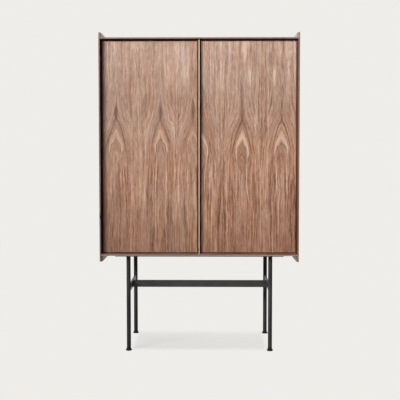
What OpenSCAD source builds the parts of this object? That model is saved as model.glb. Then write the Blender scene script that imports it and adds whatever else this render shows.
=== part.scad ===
// Walnut highboard with two inset doors, on a black steel base.
// The origin is on the floor under the middle of the case. The doors face -Y, and +Z is up.

/* [Case] */
// Width across the two side panels
case_w = 1000; // [800:10:1300]
// Depth of the side, top and bottom panels
case_d = 450; // [400:5:560]
// Clear height between the bottom and top panels
opening_h = 1066; // [900:2:1300]
// Thickness of the side panels
side_t = 12; // [11:0.5:18]
// Thickness of the top and bottom panels
deck_t = 12; // [11.5:0.5:18]
// Thickness of the divider between the two bays
divider_t = 14; // [13:0.5:20]
// Thickness left at the bevelled front edge of the sides, top and bottom
nose_t = 6.5; // [4:0.1:9]
// Thickness left at the bevelled front edge of the divider
divider_nose_t = 6; // [4:0.1:10]
// Distance from the front of the case to the front edge of the divider
divider_recess = 13; // [4:0.5:16]
// Height of the side panels above the top panel
side_rise = 25; // [8:1:40]
// Length of the side panels below the bottom panel
side_drop = 30; // [8:1:40]

/* [Back] */
// Thickness of the back panel
back_t = 6; // [4:0.5:8]
// Distance from the rear edge of the case to the back panel
back_inset = 14; // [10:1:20]
// Depth of the groove that holds the back panel
groove_depth = 6; // [4:0.5:7]
// Clearance of the back panel in its groove
back_clear = 0.2; // [0.1:0.05:0.4]
// Height of the rails that take the wall screws
fixing_rail_h = 60; // [45:1:90]
// Thickness of the rails that take the wall screws
fixing_rail_t = 16; // [12:1:22]
// Diameter of the wall screw holes
wall_hole_d = 6.5; // [5:0.1:9]

/* [Shelves] */
// Thickness of a shelf
shelf_t = 16; // [12:1:25]
// Clearance at each side and behind a shelf
shelf_gap = 1; // [0.6:0.1:2]
// Distance from the rear face of the doors to the shelves
shelf_setback = 15; // [13:1:40]
// Diameter of a shelf pin in its hole
peg_d = 5; // [4:0.1:6]
// Length of a shelf pin in its hole
peg_depth = 5; // [4:0.1:5.5]
// Diameter of the part of a shelf pin that carries the shelf
peg_head_d = 7; // [6.5:0.1:9]
// Length of the part of a shelf pin that carries the shelf
peg_reach = 8; // [6:0.5:12]
// Height of the flat on a shelf pin above its axis
peg_flat = 2; // [1:0.1:2.5]
// Clearance around and behind a shelf pin
peg_clear = 0.05; // [0.03:0.01:0.1]
// Distance from the edges of a shelf to its pins
peg_inset = 45; // [30:1:80]
// Pitch of the rows of holes for the shelf pins
peg_pitch = 32; // [25:1:32]

/* [Doors] */
// Thickness of a door
door_t = 19; // [18:0.5:22]
// Gap around a door
door_gap = 3; // [2.7:0.1:4]
// Distance from the front of the case to the doors
door_recess = 28; // [15:1:36]
// Distance from the hinge edge of a door to its pivots
pivot_inset = 20; // [18:0.5:30]

/* [Pivots] */
// Diameter of a pivot pin
pivot_d = 8; // [6:0.5:9]
// Length of a pivot pin inside the door
pivot_in_door = 12; // [8:1:25]
// Length of a pivot pin inside its bush
pivot_in_bush = 8.5; // [7:0.5:9]
// Radial running clearance of a pivot pin in its bush
pivot_clear = 0.05; // [0.03:0.01:0.1]
// Diameter of the collar on a pivot pin
collar_d = 12; // [11:0.5:12]
// Clearance between the collar and the bush
collar_play = 0.2; // [0.1:0.05:0.4]
// Outer diameter of a bush
bush_d = 12; // [11:0.5:14]
// Depth of a bush in its panel
bush_depth = 10; // [9.5:0.1:10.5]
// Diameter of the flange of a bush
bush_flange_d = 16; // [15:0.5:20]
// Thickness of the flange of a bush
bush_flange_t = 1.5; // [1:0.1:2]
// Length of a pivot plate
plate_l = 50; // [46:1:70]
// Width of a pivot plate
plate_w = 12; // [12:0.5:14]
// Thickness of a pivot plate
plate_t = 2.5; // [2:0.1:4]
// Length of a pivot plate past its pin, towards the hinge edge
plate_tail = 7; // [6.5:0.5:12]
// Distance from a pivot pin to the first screw of its plate
plate_screw_start = 16; // [13:0.5:18]
// Distance between the two screws of a pivot plate
plate_screw_pitch = 18; // [12:1:20]

/* [Latches] */
// Distance from the divider to the axis of a latch
latch_inset = 24; // [21:1:40]
// Distance from the top panel down to the axis of a latch
latch_drop = 12; // [11:0.5:20]
// Length of a latch housing
latch_l = 58; // [50:1:70]
// Width of a latch housing
latch_w = 16; // [14:0.5:20]
// Height of a latch housing below the axis of the latch
latch_under = 8; // [7:0.5:12]
// Width of the screw flange of a latch housing
latch_flange_w = 36; // [34:1:40]
// Length of the screw flange of a latch housing
latch_flange_l = 16; // [10:1:24]
// Thickness of the screw flange of a latch housing
latch_flange_t = 3; // [2.5:0.1:4]
// Distance from the axis of a latch to each of its screws
latch_screw_x = 12.5; // [12:0.5:14]
// Diameter of a latch plunger
plunger_d = 10; // [8:0.5:11]
// Length of a latch plunger
plunger_l = 38; // [30:1:40]
// Radial running clearance of a latch plunger in its housing
plunger_clear = 0.08; // [0.05:0.01:0.1]
// Travel of a latch plunger when the door is pressed
press_travel = 3; // [2:0.5:4]
// Length of a latch plunger that stays outside when it is pressed
plunger_reserve = 1.7; // [1:0.1:3]
// Length of the bore behind a plunger that is pressed
plunger_spare = 1; // [0.5:0.1:3]
// Diameter of the magnet on a latch plunger
magnet_d = 9; // [6:0.5:9.5]
// Thickness of the magnet on a latch plunger
magnet_t = 2.5; // [1.5:0.1:4]
// Gap between the magnet and the strike plate of a closed door
magnet_gap = 0.3; // [0.2:0.1:0.6]
// Diameter of a strike plate
strike_d = 14; // [12:0.5:16]
// Thickness of a strike plate
strike_t = 1.5; // [1.5:0.1:3]

/* [Door stops] */
// Width of a door stop
stop_w = 30; // [20:1:50]
// Depth of a door stop
stop_l = 14; // [10:1:20]
// Height of a door stop
stop_h = 20; // [14:1:30]
// Distance from the divider to a door stop
stop_inset = 12; // [6:1:30]
// Free space between a door stop's buffer and the door, past the latch's travel
stop_spare = 0.5; // [0.3:0.1:1]
// Diameter of a door stop's buffer
buffer_d = 9; // [6:0.5:12]
// Thickness of a door stop's buffer
buffer_t = 2; // [1:0.1:3]

/* [Base] */
// Height of the bottom panel's underside above the floor
base_h = 495; // [420:1:560]
// Distance from a side of the case to the axes of its legs
leg_inset_x = 138.5; // [130:0.5:200]
// Distance from the front or rear of the case to the axes of its legs
leg_inset_y = 55; // [40:1:85]
// Diameter of a leg
leg_d = 21.3; // [17:0.1:24]
// Distance from a side of the case to the ends of the frame rails under it
frame_inset = 72; // [60:1:85]
// Width of the frame bars under the case
frame_bar_w = 25; // [20:1:35]
// Height of the frame bars under the case
frame_bar_h = 10; // [8:1:20]
// Height of the stretchers' underside above the floor
stretcher_z = 294; // [150:1:360]
// Height of the stretcher bars
stretcher_h = 37; // [25:1:45]
// Thickness of the stretcher bars
stretcher_t = 8; // [6:0.5:12]
// Gap at a coped end, where the weld goes
weld_gap = 0.05; // [0.02:0.01:0.1]

/* [Feet] */
// Diameter of a foot at the floor
foot_d = 32; // [28:0.5:40]
// Height of a foot
foot_h = 16; // [12:0.5:22]
// Height of the straight rim of a foot
foot_rim_h = 3; // [2:0.1:4]
// Diameter of a foot's stud in the leg
stud_d = 8; // [6:0.5:10]
// Length of a foot's stud in the leg
stud_l = 22; // [15:1:40]
// Clearance around and above a foot's stud
stud_clear = 0.05; // [0.03:0.01:0.2]
// Diameter of the pad under a foot
pad_d = 28; // [20:0.5:28]
// Thickness of the pad under a foot
pad_t = 1.5; // [1:0.1:3]

/* [Fasteners] */
// Diameter of a dowel
dowel_d = 6; // [5:0.5:7]
// Length of a dowel
dowel_l = 24; // [18:1:30]
// Depth of a dowel in the side panel, top panel or bottom panel that it meets square on
dowel_bite = 8; // [6:0.5:9]
// Clearance around and behind a dowel
dowel_clear = 0.05; // [0.03:0.01:0.1]
// Distance from the doors' rear face to the first dowel
dowel_front = 23; // [20:1:40]
// Distance from the back panel to the last dowel
dowel_rear = 35; // [25:1:60]
// Diameter of the screws under the case
base_screw_d = 4; // [3.5:0.1:5]
// Head diameter of the screws under the case
base_screw_head_d = 8; // [7.5:0.1:9]
// Depth of the screws in the bottom panel
base_screw_bite = 9; // [7:0.1:9.5]
// Distance from the end of a frame rail to its outer screws
base_screw_end = 32; // [25:1:40]
// Distance between a frame rail's two inner screws
base_screw_span = 260; // [200:10:400]
// Diameter of the screws of the hinge and latch parts
fitting_screw_d = 3; // [2.5:0.1:3.2]
// Head diameter of the screws of the hinge and latch parts
fitting_screw_head_d = 5.8; // [5.5:0.1:6]
// Depth of the hinge and strike screws in the door
door_screw_bite = 14; // [8:0.5:15]
// Depth of the latch screws in the top panel
latch_screw_bite = 8; // [6:0.1:9]
// Width of the hexagon socket in the screws under the case
base_socket_w = 3; // [2:0.1:3.4]
// Depth of the hexagon socket in the screws under the case
base_socket_l = 2.4; // [1:0.1:3]
// Width of the hexagon socket in the screws of the hinge and latch parts
fitting_socket_w = 2.2; // [1.5:0.1:2.4]
// Depth of the hexagon socket in the screws of the hinge and latch parts
fitting_socket_l = 1.8; // [1:0.1:2.2]
// Clearance around a screw
screw_clear = 0.05; // [0.03:0.01:0.1]

/* [Hidden] */

// Circles are drawn with this many sides
$fn = 48;
// Length by which a cut runs past a face
over = 1;
// Shelves in each bay, and the spare pin positions above and below each one
shelf_n = 3;
spare_n = 2;
// Dowels at each end of the top and bottom panels, and at each end of the divider
deck_dowel_n = 4;
divider_dowel_n = 3;

// Colours
walnut = "#ad8c78";
walnut_edge = "#8f6d5c";
black_steel = "#2e2e2f";
black_plastic = "#222223";
bright_steel = "#b9bcc0";
beech = "#d8bd92";
grey_plastic = "#8d9093";
white_plastic = "#e4e4e0";

// Planes of the case, from the middle outwards and from the floor up
outer_x = case_w / 2;
inner_x = outer_x - side_t;
front_y = -case_d / 2;
rear_y = case_d / 2;
bevel_y = front_y + door_recess;
divider_front_y = front_y + divider_recess;
back_y = rear_y - back_inset - back_t;
deck_z = base_h + deck_t;
ceiling_z = deck_z + opening_h;
top_z = ceiling_z + deck_t;
bay_w = inner_x - divider_t / 2;

// Doors and pivots
door_w = bay_w - 2 * door_gap;
door_h = opening_h - 2 * door_gap;
door_x = divider_t / 2 + door_gap;
door_z = deck_z + door_gap;
door_rear_y = bevel_y + door_t;
pivot_x = inner_x - door_gap - pivot_inset;
pivot_y = bevel_y + door_t / 2;
collar_t = door_gap - bush_flange_t - collar_play;

// Shelves and their pins
shelf_y = door_rear_y + shelf_setback;
shelf_l = back_y - shelf_gap - shelf_y;
room_h = (opening_h - shelf_n * shelf_t) / (shelf_n + 1);
peg_columns = [shelf_y + peg_inset, back_y - shelf_gap - peg_inset];
function shelf_z(level) = deck_z + level * room_h + (level - 1) * shelf_t;

// Latches, measured back from the rear face of the closed door
latch_x = divider_t / 2 + latch_inset;
latch_z = ceiling_z - latch_drop;
magnet_y = door_rear_y + strike_t + magnet_gap;
plunger_y = magnet_y + magnet_t;
housing_y = plunger_y + press_travel + plunger_reserve;
latch_bore_l = plunger_l - plunger_reserve + plunger_spare;
stop_y = door_rear_y + press_travel + stop_spare + buffer_t;
stop_x = divider_t / 2 + stop_inset + stop_w / 2;

// Base
leg_x = outer_x - leg_inset_x;
leg_y = rear_y - leg_inset_y;
frame_x = outer_x - frame_inset;
frame_z = base_h - frame_bar_h;
leg_z = pad_t + foot_h;
base_screw_xs = [
    frame_x - base_screw_end, base_screw_span / 2, -base_screw_span / 2, base_screw_end - frame_x
];

// Dowel rows
function spread(first, last, n) = [for (i = [0 : n - 1]) first + (last - first) * i / (n - 1)];
deck_dowel_ys = spread(door_rear_y + dowel_front, back_y - dowel_rear, deck_dowel_n);
divider_dowel_ys = spread(shelf_y + dowel_front, back_y - dowel_rear, divider_dowel_n);

// Helpers

module right() mirror([1, 0, 0]) children();

// Stands a profile drawn in Y and Z upright and extrudes it along X, centred
module across(width) rotate([90, 0, 90]) translate([0, 0, -width / 2])
    linear_extrude(width) children();

// Round bar along +Z, grown all round and at its far end by a clearance
module bar(d, l, grow = 0) cylinder(d = d + 2 * grow, h = l + grow);

// Countersunk screw or its hole, with its head's face at z = 0 and its point towards +Z
module screw_form(d, head_d, l, grow = 0, cut = 0) {
    sink = (head_d - d) / 2;
    rotate_extrude() polygon([
        [0, -cut], [head_d / 2 + grow, -cut], [head_d / 2 + grow, 0],
        [d / 2 + grow, sink], [d / 2 + grow, l + grow], [0, l + grow]
    ]);
}

// Screw with a hexagon socket in its head
module screw(d, head_d, l, socket_w, socket_l) difference() {
    screw_form(d, head_d, l);
    translate([0, 0, -over]) cylinder(d = socket_w, h = over + socket_l, $fn = 6);
}

module screw_hole(d, head_d, l) screw_form(d, head_d, l, screw_clear, over);

module fitting_screw(l)
    screw(fitting_screw_d, fitting_screw_head_d, l, fitting_socket_w, fitting_socket_l);

module fitting_screw_hole(l) screw_hole(fitting_screw_d, fitting_screw_head_d, l);

// Dowels between the left side panel and the top and bottom panels
module deck_dowels(grow = 0) for (z = [base_h + deck_t / 2, top_z - deck_t / 2], y = deck_dowel_ys)
    translate([-inner_x - dowel_bite - grow, y, z]) rotate([0, 90, 0]) bar(dowel_d, dowel_l + grow, grow);

// Dowels between the divider and the top and bottom panels
module divider_dowels(grow = 0) for (y = divider_dowel_ys) {
    translate([0, y, deck_z - dowel_bite - grow]) bar(dowel_d, dowel_l + grow, grow);
    translate([0, y, ceiling_z - dowel_l + dowel_bite - grow]) bar(dowel_d, dowel_l + grow, grow);
}

// Holes for the shelf pins in the left bay's outer wall, at every height that a shelf can take
module peg_holes() for (level = [1 : shelf_n], step = [-spare_n : spare_n], y = peg_columns)
    translate([-inner_x + over, y, shelf_z(level) + step * peg_pitch - peg_flat])
        rotate([0, -90, 0]) bar(peg_d, peg_depth + over, peg_clear);

// Moves a shape made for a bay's outer wall to the divider's side of the same bay
module at_divider() translate([-inner_x - divider_t / 2, 0, 0]) mirror([1, 0, 0]) children();

// Groove for the back panel, between the side panels' outer faces
module back_groove() translate([
    -inner_x - groove_depth, back_y - back_clear, deck_z - groove_depth
]) cube([2 * (inner_x + groove_depth), back_t + 2 * back_clear, opening_h + 2 * groove_depth]);

module wall_holes() for (side = [-1, 1])
    translate([side * (divider_t / 2 + bay_w / 2), 0, ceiling_z - fixing_rail_h / 2])
        rotate([-90, 0, 0]) cylinder(d = wall_hole_d, h = rear_y);

// Case

module side_panel() difference() {
    translate([0, 0, base_h - side_drop]) linear_extrude(top_z + side_rise - base_h + side_drop)
        polygon([
            [-outer_x, front_y], [nose_t - outer_x, front_y], [-inner_x, bevel_y],
            [-inner_x, rear_y], [-outer_x, rear_y]
        ]);
    deck_dowels(dowel_clear);
    peg_holes();
    back_groove();
}

module left_side_panel() color(walnut) side_panel();

module right_side_panel() color(walnut) right() side_panel();

// Outline of the top and bottom panels, which widens at the front to meet the sides' bevels
module deck_outline() polygon([
    [-inner_x, rear_y], [-inner_x, bevel_y], [nose_t - outer_x, front_y],
    [outer_x - nose_t, front_y], [inner_x, bevel_y], [inner_x, rear_y]
]);

// Top or bottom panel, given the heights of its show face and of its face inside the case
module deck(show_z, inside_z) {
    nose_z = show_z + sign(inside_z - show_z) * nose_t;
    intersection() {
        translate([0, 0, min(show_z, inside_z)]) linear_extrude(deck_t) deck_outline();
        across(case_w) polygon([
            [front_y, show_z], [front_y, nose_z], [bevel_y, inside_z],
            [rear_y, inside_z], [rear_y, show_z]
        ]);
    }
}

// What is cut from both the top and bottom panels
module deck_cuts() {
    deck_dowels(dowel_clear);
    right() deck_dowels(dowel_clear);
    divider_dowels(dowel_clear);
    back_groove();
    bush_holes();
    right() bush_holes();
}

module top_panel() color(walnut) difference() {
    deck(top_z, ceiling_z);
    deck_cuts();
    latch_screw_places() fitting_screw_hole(latch_flange_t + latch_screw_bite);
    right() latch_screw_places() fitting_screw_hole(latch_flange_t + latch_screw_bite);
}

module bottom_panel() color(walnut) difference() {
    deck(base_h, deck_z);
    deck_cuts();
    base_screw_places() screw_hole(base_screw_d, base_screw_head_d, frame_bar_h + base_screw_bite);
}

// Divider, with its front edge scribed to the bevels of the top and bottom panels
module centre_divider() color(walnut) difference() {
    intersection() {
        translate([0, 0, base_h]) linear_extrude(top_z - base_h) polygon([
            [-divider_nose_t / 2, divider_front_y], [divider_nose_t / 2, divider_front_y],
            [divider_t / 2, bevel_y], [divider_t / 2, back_y],
            [-divider_t / 2, back_y], [-divider_t / 2, bevel_y]
        ]);
        across(case_w) polygon([
            [front_y, base_h + nose_t], [bevel_y, deck_z], [back_y, deck_z],
            [back_y, ceiling_z], [bevel_y, ceiling_z], [front_y, top_z - nose_t]
        ]);
    }
    divider_dowels(dowel_clear);
    at_divider() peg_holes();
    right() at_divider() peg_holes();
}

module back_panel() color(walnut_edge) {
    w = 2 * (inner_x + groove_depth - back_clear);
    h = opening_h + 2 * (groove_depth - back_clear);
    difference() {
        translate([-w / 2, back_y, deck_z - groove_depth + back_clear]) cube([w, back_t, h]);
        wall_holes();
    }
}

module fixing_rail() difference() {
    translate([-inner_x, back_y - fixing_rail_t, ceiling_z - fixing_rail_h])
        cube([bay_w, fixing_rail_t, fixing_rail_h]);
    wall_holes();
}

module left_fixing_rail() color(walnut_edge) fixing_rail();

module right_fixing_rail() color(walnut_edge) right() fixing_rail();

module case_dowels() color(beech) {
    deck_dowels();
    right() deck_dowels();
    divider_dowels();
}

// Shelves

module shelf(level) translate([shelf_gap - inner_x, shelf_y, shelf_z(level)])
    cube([bay_w - 2 * shelf_gap, shelf_l, shelf_t]);

module left_shelf(level) color(walnut) shelf(level);

module right_shelf(level) color(walnut) right() shelf(level);

// Shelf pin in the left bay's outer wall, pointing into the bay, with its flat up
module shelf_pin() {
    translate([-peg_depth, 0, 0]) rotate([0, 90, 0]) bar(peg_d, peg_depth);
    difference() {
        rotate([0, 90, 0]) bar(peg_head_d, peg_reach);
        translate([-over, -peg_head_d, peg_flat]) cube([peg_reach + 2 * over, 2 * peg_head_d, peg_head_d]);
    }
}

module wall_pins() for (level = [1 : shelf_n], y = peg_columns)
    translate([-inner_x, y, shelf_z(level) - peg_flat]) shelf_pin();

module shelf_pins() {
    wall_pins();
    at_divider() wall_pins();
}

module left_shelf_pins() color(bright_steel) shelf_pins();

module right_shelf_pins() color(bright_steel) right() shelf_pins();

// Doors and their pivots

// Puts a shape made for a bottom pivot at both pivots of the left door
module pivot_places() {
    translate([-pivot_x, pivot_y, door_z]) children();
    translate([-pivot_x, pivot_y, door_z + door_h]) mirror([0, 0, 1]) children();
}

module pivot_screw_places() pivot_places() for (i = [0, 1])
    translate([plate_screw_start + i * plate_screw_pitch, 0, 0]) children();

// Pivot plate with its pin and collar, or the room for it in the edge of the door
module pivot_form(grow = 0) {
    translate([-plate_tail - grow, -plate_w / 2 - grow, -(grow > 0 ? over : 0)])
        cube([plate_l + 2 * grow, plate_w + 2 * grow, plate_t + (grow > 0 ? over + grow : 0)]);
    bar(pivot_d, pivot_in_door, grow);
}

module door_panel() difference() {
    translate([-door_x - door_w, bevel_y, door_z]) cube([door_w, door_t, door_h]);
    pivot_places() pivot_form(screw_clear);
    pivot_screw_places() fitting_screw_hole(plate_t + door_screw_bite);
    strike_place() fitting_screw_hole(strike_t + door_screw_bite);
}

module left_door() color(walnut) door_panel();

module right_door() color(walnut) right() door_panel();

module pivot_pins() difference() {
    pivot_places() {
        pivot_form();
        translate([0, 0, -collar_t]) bar(collar_d, collar_t);
        translate([0, 0, -door_gap - pivot_in_bush]) bar(pivot_d, door_gap + pivot_in_bush);
    }
    pivot_screw_places() fitting_screw_hole(plate_t + over);
}

module left_pivot_pins() color(bright_steel) pivot_pins();

module right_pivot_pins() color(bright_steel) right() pivot_pins();

module pivot_screws() pivot_screw_places() fitting_screw(plate_t + door_screw_bite);

module left_pivot_screws() color(bright_steel) pivot_screws();

module right_pivot_screws() color(bright_steel) right() pivot_screws();

// Puts a shape made for a bush in the bottom panel at both bushes of the left door
module bush_places() {
    translate([-pivot_x, pivot_y, deck_z]) children();
    translate([-pivot_x, pivot_y, ceiling_z]) mirror([0, 0, 1]) children();
}

module bush_holes() bush_places() translate([0, 0, over]) mirror([0, 0, 1])
    bar(bush_d, bush_depth + over, screw_clear);

module pivot_bushes() bush_places() difference() {
    union() {
        translate([0, 0, -bush_depth]) bar(bush_d, bush_depth);
        bar(bush_flange_d, bush_flange_t);
    }
    translate([0, 0, -bush_depth - over])
        cylinder(d = pivot_d + 2 * pivot_clear, h = bush_depth + bush_flange_t + 2 * over);
}

module left_pivot_bushes() color(white_plastic) pivot_bushes();

module right_pivot_bushes() color(white_plastic) right() pivot_bushes();

// Push latches, strike plates and stops

// Puts a shape that points +Y from the origin on the axis of the left latch
module on_latch_axis(y) translate([-latch_x, y, latch_z]) rotate([-90, 0, 0]) children();

module strike_place() on_latch_axis(door_rear_y + strike_t) mirror([0, 0, 1]) children();

module strike_plate() difference() {
    on_latch_axis(door_rear_y) bar(strike_d, strike_t);
    strike_place() fitting_screw_hole(strike_t + over);
}

module left_strike_plate() color(bright_steel) strike_plate();

module right_strike_plate() color(bright_steel) right() strike_plate();

module strike_screw() strike_place() fitting_screw(strike_t + door_screw_bite);

module left_strike_screw() color(bright_steel) strike_screw();

module right_strike_screw() color(bright_steel) right() strike_screw();

module latch_screw_places() for (side = [-1, 1])
    translate([
        side * latch_screw_x - latch_x, housing_y + latch_l / 2, ceiling_z - latch_flange_t
    ]) children();

module latch_housing() difference() {
    union() {
        translate([-latch_x - latch_w / 2, housing_y, latch_z - latch_under])
            cube([latch_w, latch_l, latch_drop + latch_under]);
        translate([
            -latch_x - latch_flange_w / 2, housing_y + (latch_l - latch_flange_l) / 2,
            ceiling_z - latch_flange_t
        ]) cube([latch_flange_w, latch_flange_l, latch_flange_t]);
    }
    on_latch_axis(housing_y - over)
        cylinder(d = plunger_d + 2 * plunger_clear, h = latch_bore_l + over);
    latch_screw_places() fitting_screw_hole(latch_flange_t + over);
}

module left_latch_housing() color(grey_plastic) latch_housing();

module right_latch_housing() color(grey_plastic) right() latch_housing();

module latch_plunger() on_latch_axis(plunger_y) bar(plunger_d, plunger_l);

module left_latch_plunger() color(white_plastic) latch_plunger();

module right_latch_plunger() color(white_plastic) right() latch_plunger();

module latch_magnet() on_latch_axis(magnet_y) bar(magnet_d, magnet_t);

module left_latch_magnet() color(bright_steel) latch_magnet();

module right_latch_magnet() color(bright_steel) right() latch_magnet();

module latch_screw_pair() latch_screw_places() fitting_screw(latch_flange_t + latch_screw_bite);

module latch_screws() color(bright_steel) {
    latch_screw_pair();
    right() latch_screw_pair();
}

module door_stops() color(walnut_edge) for (side = [-1, 1])
    translate([side * stop_x - stop_w / 2, stop_y, deck_z]) cube([stop_w, stop_l, stop_h]);

module door_stop_buffers() color(white_plastic) for (side = [-1, 1])
    translate([side * stop_x, stop_y, deck_z + stop_h / 2])
        rotate([90, 0, 0]) bar(buffer_d, buffer_t);

// Base

module frame_rail(y) translate([-frame_x, y - frame_bar_w / 2, frame_z])
    cube([2 * frame_x, frame_bar_w, frame_bar_h]);

// Screws through the frame rails into the bottom panel, seen from below
module base_screw_places() for (x = base_screw_xs, y = [-leg_y, leg_y])
    translate([x, y, frame_z]) children();

module base_screw_holes() base_screw_places()
    screw_hole(base_screw_d, base_screw_head_d, frame_bar_h + over);

module front_frame_rail() color(black_steel) difference() {
    frame_rail(-leg_y);
    base_screw_holes();
}

module rear_frame_rail() color(black_steel) difference() {
    frame_rail(leg_y);
    base_screw_holes();
}

module frame_tie() translate([-leg_x - frame_bar_w / 2, frame_bar_w / 2 - leg_y, frame_z])
    cube([frame_bar_w, 2 * leg_y - frame_bar_w, frame_bar_h]);

module left_frame_tie() color(black_steel) frame_tie();

module right_frame_tie() color(black_steel) right() frame_tie();

module leg(x, y) color(black_steel) translate([x, y, leg_z]) difference() {
    bar(leg_d, frame_z - leg_z);
    translate([0, 0, -over]) bar(stud_d, stud_l + over, stud_clear);
}

module front_left_leg() leg(-leg_x, -leg_y);

module front_right_leg() leg(leg_x, -leg_y);

module rear_left_leg() leg(-leg_x, leg_y);

module rear_right_leg() leg(leg_x, leg_y);

// Side stretcher, coped at both ends to fit round the legs
module side_stretcher() difference() {
    translate([-leg_x - stretcher_t / 2, -leg_y, stretcher_z])
        cube([stretcher_t, 2 * leg_y, stretcher_h]);
    for (y = [-leg_y, leg_y]) translate([-leg_x, y, stretcher_z - over])
        bar(leg_d, stretcher_h + 2 * over, weld_gap);
}

module left_stretcher() color(black_steel) side_stretcher();

module right_stretcher() color(black_steel) right() side_stretcher();

module cross_stretcher() color(black_steel)
    translate([stretcher_t / 2 - leg_x, -stretcher_t / 2, stretcher_z])
        cube([2 * leg_x - stretcher_t, stretcher_t, stretcher_h]);

// Foot with a hollow flare from its rim up to the leg, and a stud that goes up into the leg
module foot(x, y) color(black_plastic) translate([x, y, pad_t]) {
    flare_h = foot_h - foot_rim_h;
    flare_w = (foot_d - leg_d) / 2;
    rotate_extrude() difference() {
        square([foot_d / 2, foot_h]);
        translate([foot_d / 2, foot_h]) scale([flare_w / flare_h, 1]) circle(flare_h);
    }
    translate([0, 0, foot_h]) bar(stud_d, stud_l);
}

module front_left_foot() foot(-leg_x, -leg_y);

module front_right_foot() foot(leg_x, -leg_y);

module rear_left_foot() foot(-leg_x, leg_y);

module rear_right_foot() foot(leg_x, leg_y);

module foot_pads() color(grey_plastic) for (x = [-leg_x, leg_x], y = [-leg_y, leg_y])
    translate([x, y, 0]) bar(pad_d, pad_t);

module base_screws() color(bright_steel) base_screw_places() screw(
    base_screw_d, base_screw_head_d, frame_bar_h + base_screw_bite, base_socket_w, base_socket_l
);

left_side_panel();
right_side_panel();
top_panel();
bottom_panel();
centre_divider();
back_panel();
left_fixing_rail();
right_fixing_rail();
case_dowels();
left_shelf(1);  // left_shelf_1
left_shelf(2);  // left_shelf_2
left_shelf(3);  // left_shelf_3
right_shelf(1);  // right_shelf_1
right_shelf(2);  // right_shelf_2
right_shelf(3);  // right_shelf_3
left_shelf_pins();
right_shelf_pins();
left_door();
left_pivot_pins();
left_pivot_screws();
left_strike_plate();
left_strike_screw();
right_door();
right_pivot_pins();
right_pivot_screws();
right_strike_plate();
right_strike_screw();
left_pivot_bushes();
right_pivot_bushes();
left_latch_housing();
left_latch_plunger();
left_latch_magnet();
right_latch_housing();
right_latch_plunger();
right_latch_magnet();
latch_screws();
door_stops();
door_stop_buffers();
front_frame_rail();
rear_frame_rail();
left_frame_tie();
right_frame_tie();
front_left_leg();
front_right_leg();
rear_left_leg();
rear_right_leg();
left_stretcher();
right_stretcher();
cross_stretcher();
front_left_foot();
front_right_foot();
rear_left_foot();
rear_right_foot();
foot_pads();
base_screws();
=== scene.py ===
"""Looks for a walnut highboard: veneer, powder-coated steel, fittings, weld beads and a plain studio."""

import math

import bpy
from bpy.props import FloatProperty, FloatVectorProperty, PointerProperty
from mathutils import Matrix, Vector


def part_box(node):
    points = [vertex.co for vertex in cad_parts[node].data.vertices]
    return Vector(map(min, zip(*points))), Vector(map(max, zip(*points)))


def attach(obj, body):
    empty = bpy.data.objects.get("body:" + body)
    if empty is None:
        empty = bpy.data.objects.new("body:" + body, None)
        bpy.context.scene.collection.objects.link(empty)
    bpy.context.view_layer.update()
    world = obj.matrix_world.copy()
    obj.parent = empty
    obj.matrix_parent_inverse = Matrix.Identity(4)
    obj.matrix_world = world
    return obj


bl_info = {
    "name": "Walnut highboard",
    "version": (1, 0, 0),
    "blender": (4, 5, 0),
    "location": "View3D > Sidebar > Highboard",
    "description": "Finishes a walnut highboard on a black steel base",
    "category": "Object",
}

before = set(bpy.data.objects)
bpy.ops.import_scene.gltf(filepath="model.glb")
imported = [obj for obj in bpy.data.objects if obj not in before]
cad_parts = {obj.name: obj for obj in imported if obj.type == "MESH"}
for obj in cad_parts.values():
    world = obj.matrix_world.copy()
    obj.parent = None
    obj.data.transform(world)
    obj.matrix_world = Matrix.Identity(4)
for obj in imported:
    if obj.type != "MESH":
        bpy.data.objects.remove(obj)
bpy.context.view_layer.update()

SENSOR = 36.0
WALNUT_SHINE = 0.45
# The veneer's curves along the grain run between these two heights, in metres
CURVE_FOOT, CURVE_HEAD = 0.40, 1.65
# The curves across the rings run this far out from the crown line, in metres
RING_REACH = 0.15
# A curve holds values from 0 to 1, so the rings' half widths are held as 0.5 + WIDTH_SCALE * width
WIDTH_SCALE = 5.0
# No leaf of veneer has this number
NO_LEAF = 99.0
# Height at which the tone stays the same when painted shade makes a sheet darker towards its foot, in
# metres
FALL_MIDDLE = 1.38
# Points of the ring-shaped weld at a leg's top, steps along one ripple, and sides of a bead
RING_STEPS, RIPPLE_STEPS, BEAD_SIDES = 48, 4, 10

SIDE_PANELS = ("left_side_panel", "right_side_panel")
LEVEL_PANELS = ("top_panel", "bottom_panel")
SHELVES = tuple(f"{side}_shelf_{level}" for side in ("left", "right") for level in (1, 2, 3))
INSIDE_RAILS = ("left_fixing_rail", "right_fixing_rail", "door_stops")
STEEL_BARS = (
    "front_frame_rail", "rear_frame_rail", "left_frame_tie", "right_frame_tie",
    "left_stretcher", "right_stretcher", "cross_stretcher",
)
LEGS = tuple(f"{end}_{side}_leg" for end in ("front", "rear") for side in ("left", "right"))
FEET = tuple(f"{end}_{side}_foot" for end in ("front", "rear") for side in ("left", "right"))
ZINC_PARTS = (
    "left_shelf_pins", "right_shelf_pins", "left_strike_plate", "right_strike_plate",
    "left_strike_screw", "right_strike_screw", "latch_screws", "base_screws",
)
DARK_PARTS = ("left_pivot_pins", "right_pivot_pins", "left_pivot_screws", "right_pivot_screws")


def colour(name, description, default):
    """Colour that a user can change."""
    return FloatVectorProperty(
        name=name, description=description, subtype="COLOR", size=3, min=0, max=1, default=default
    )


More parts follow.
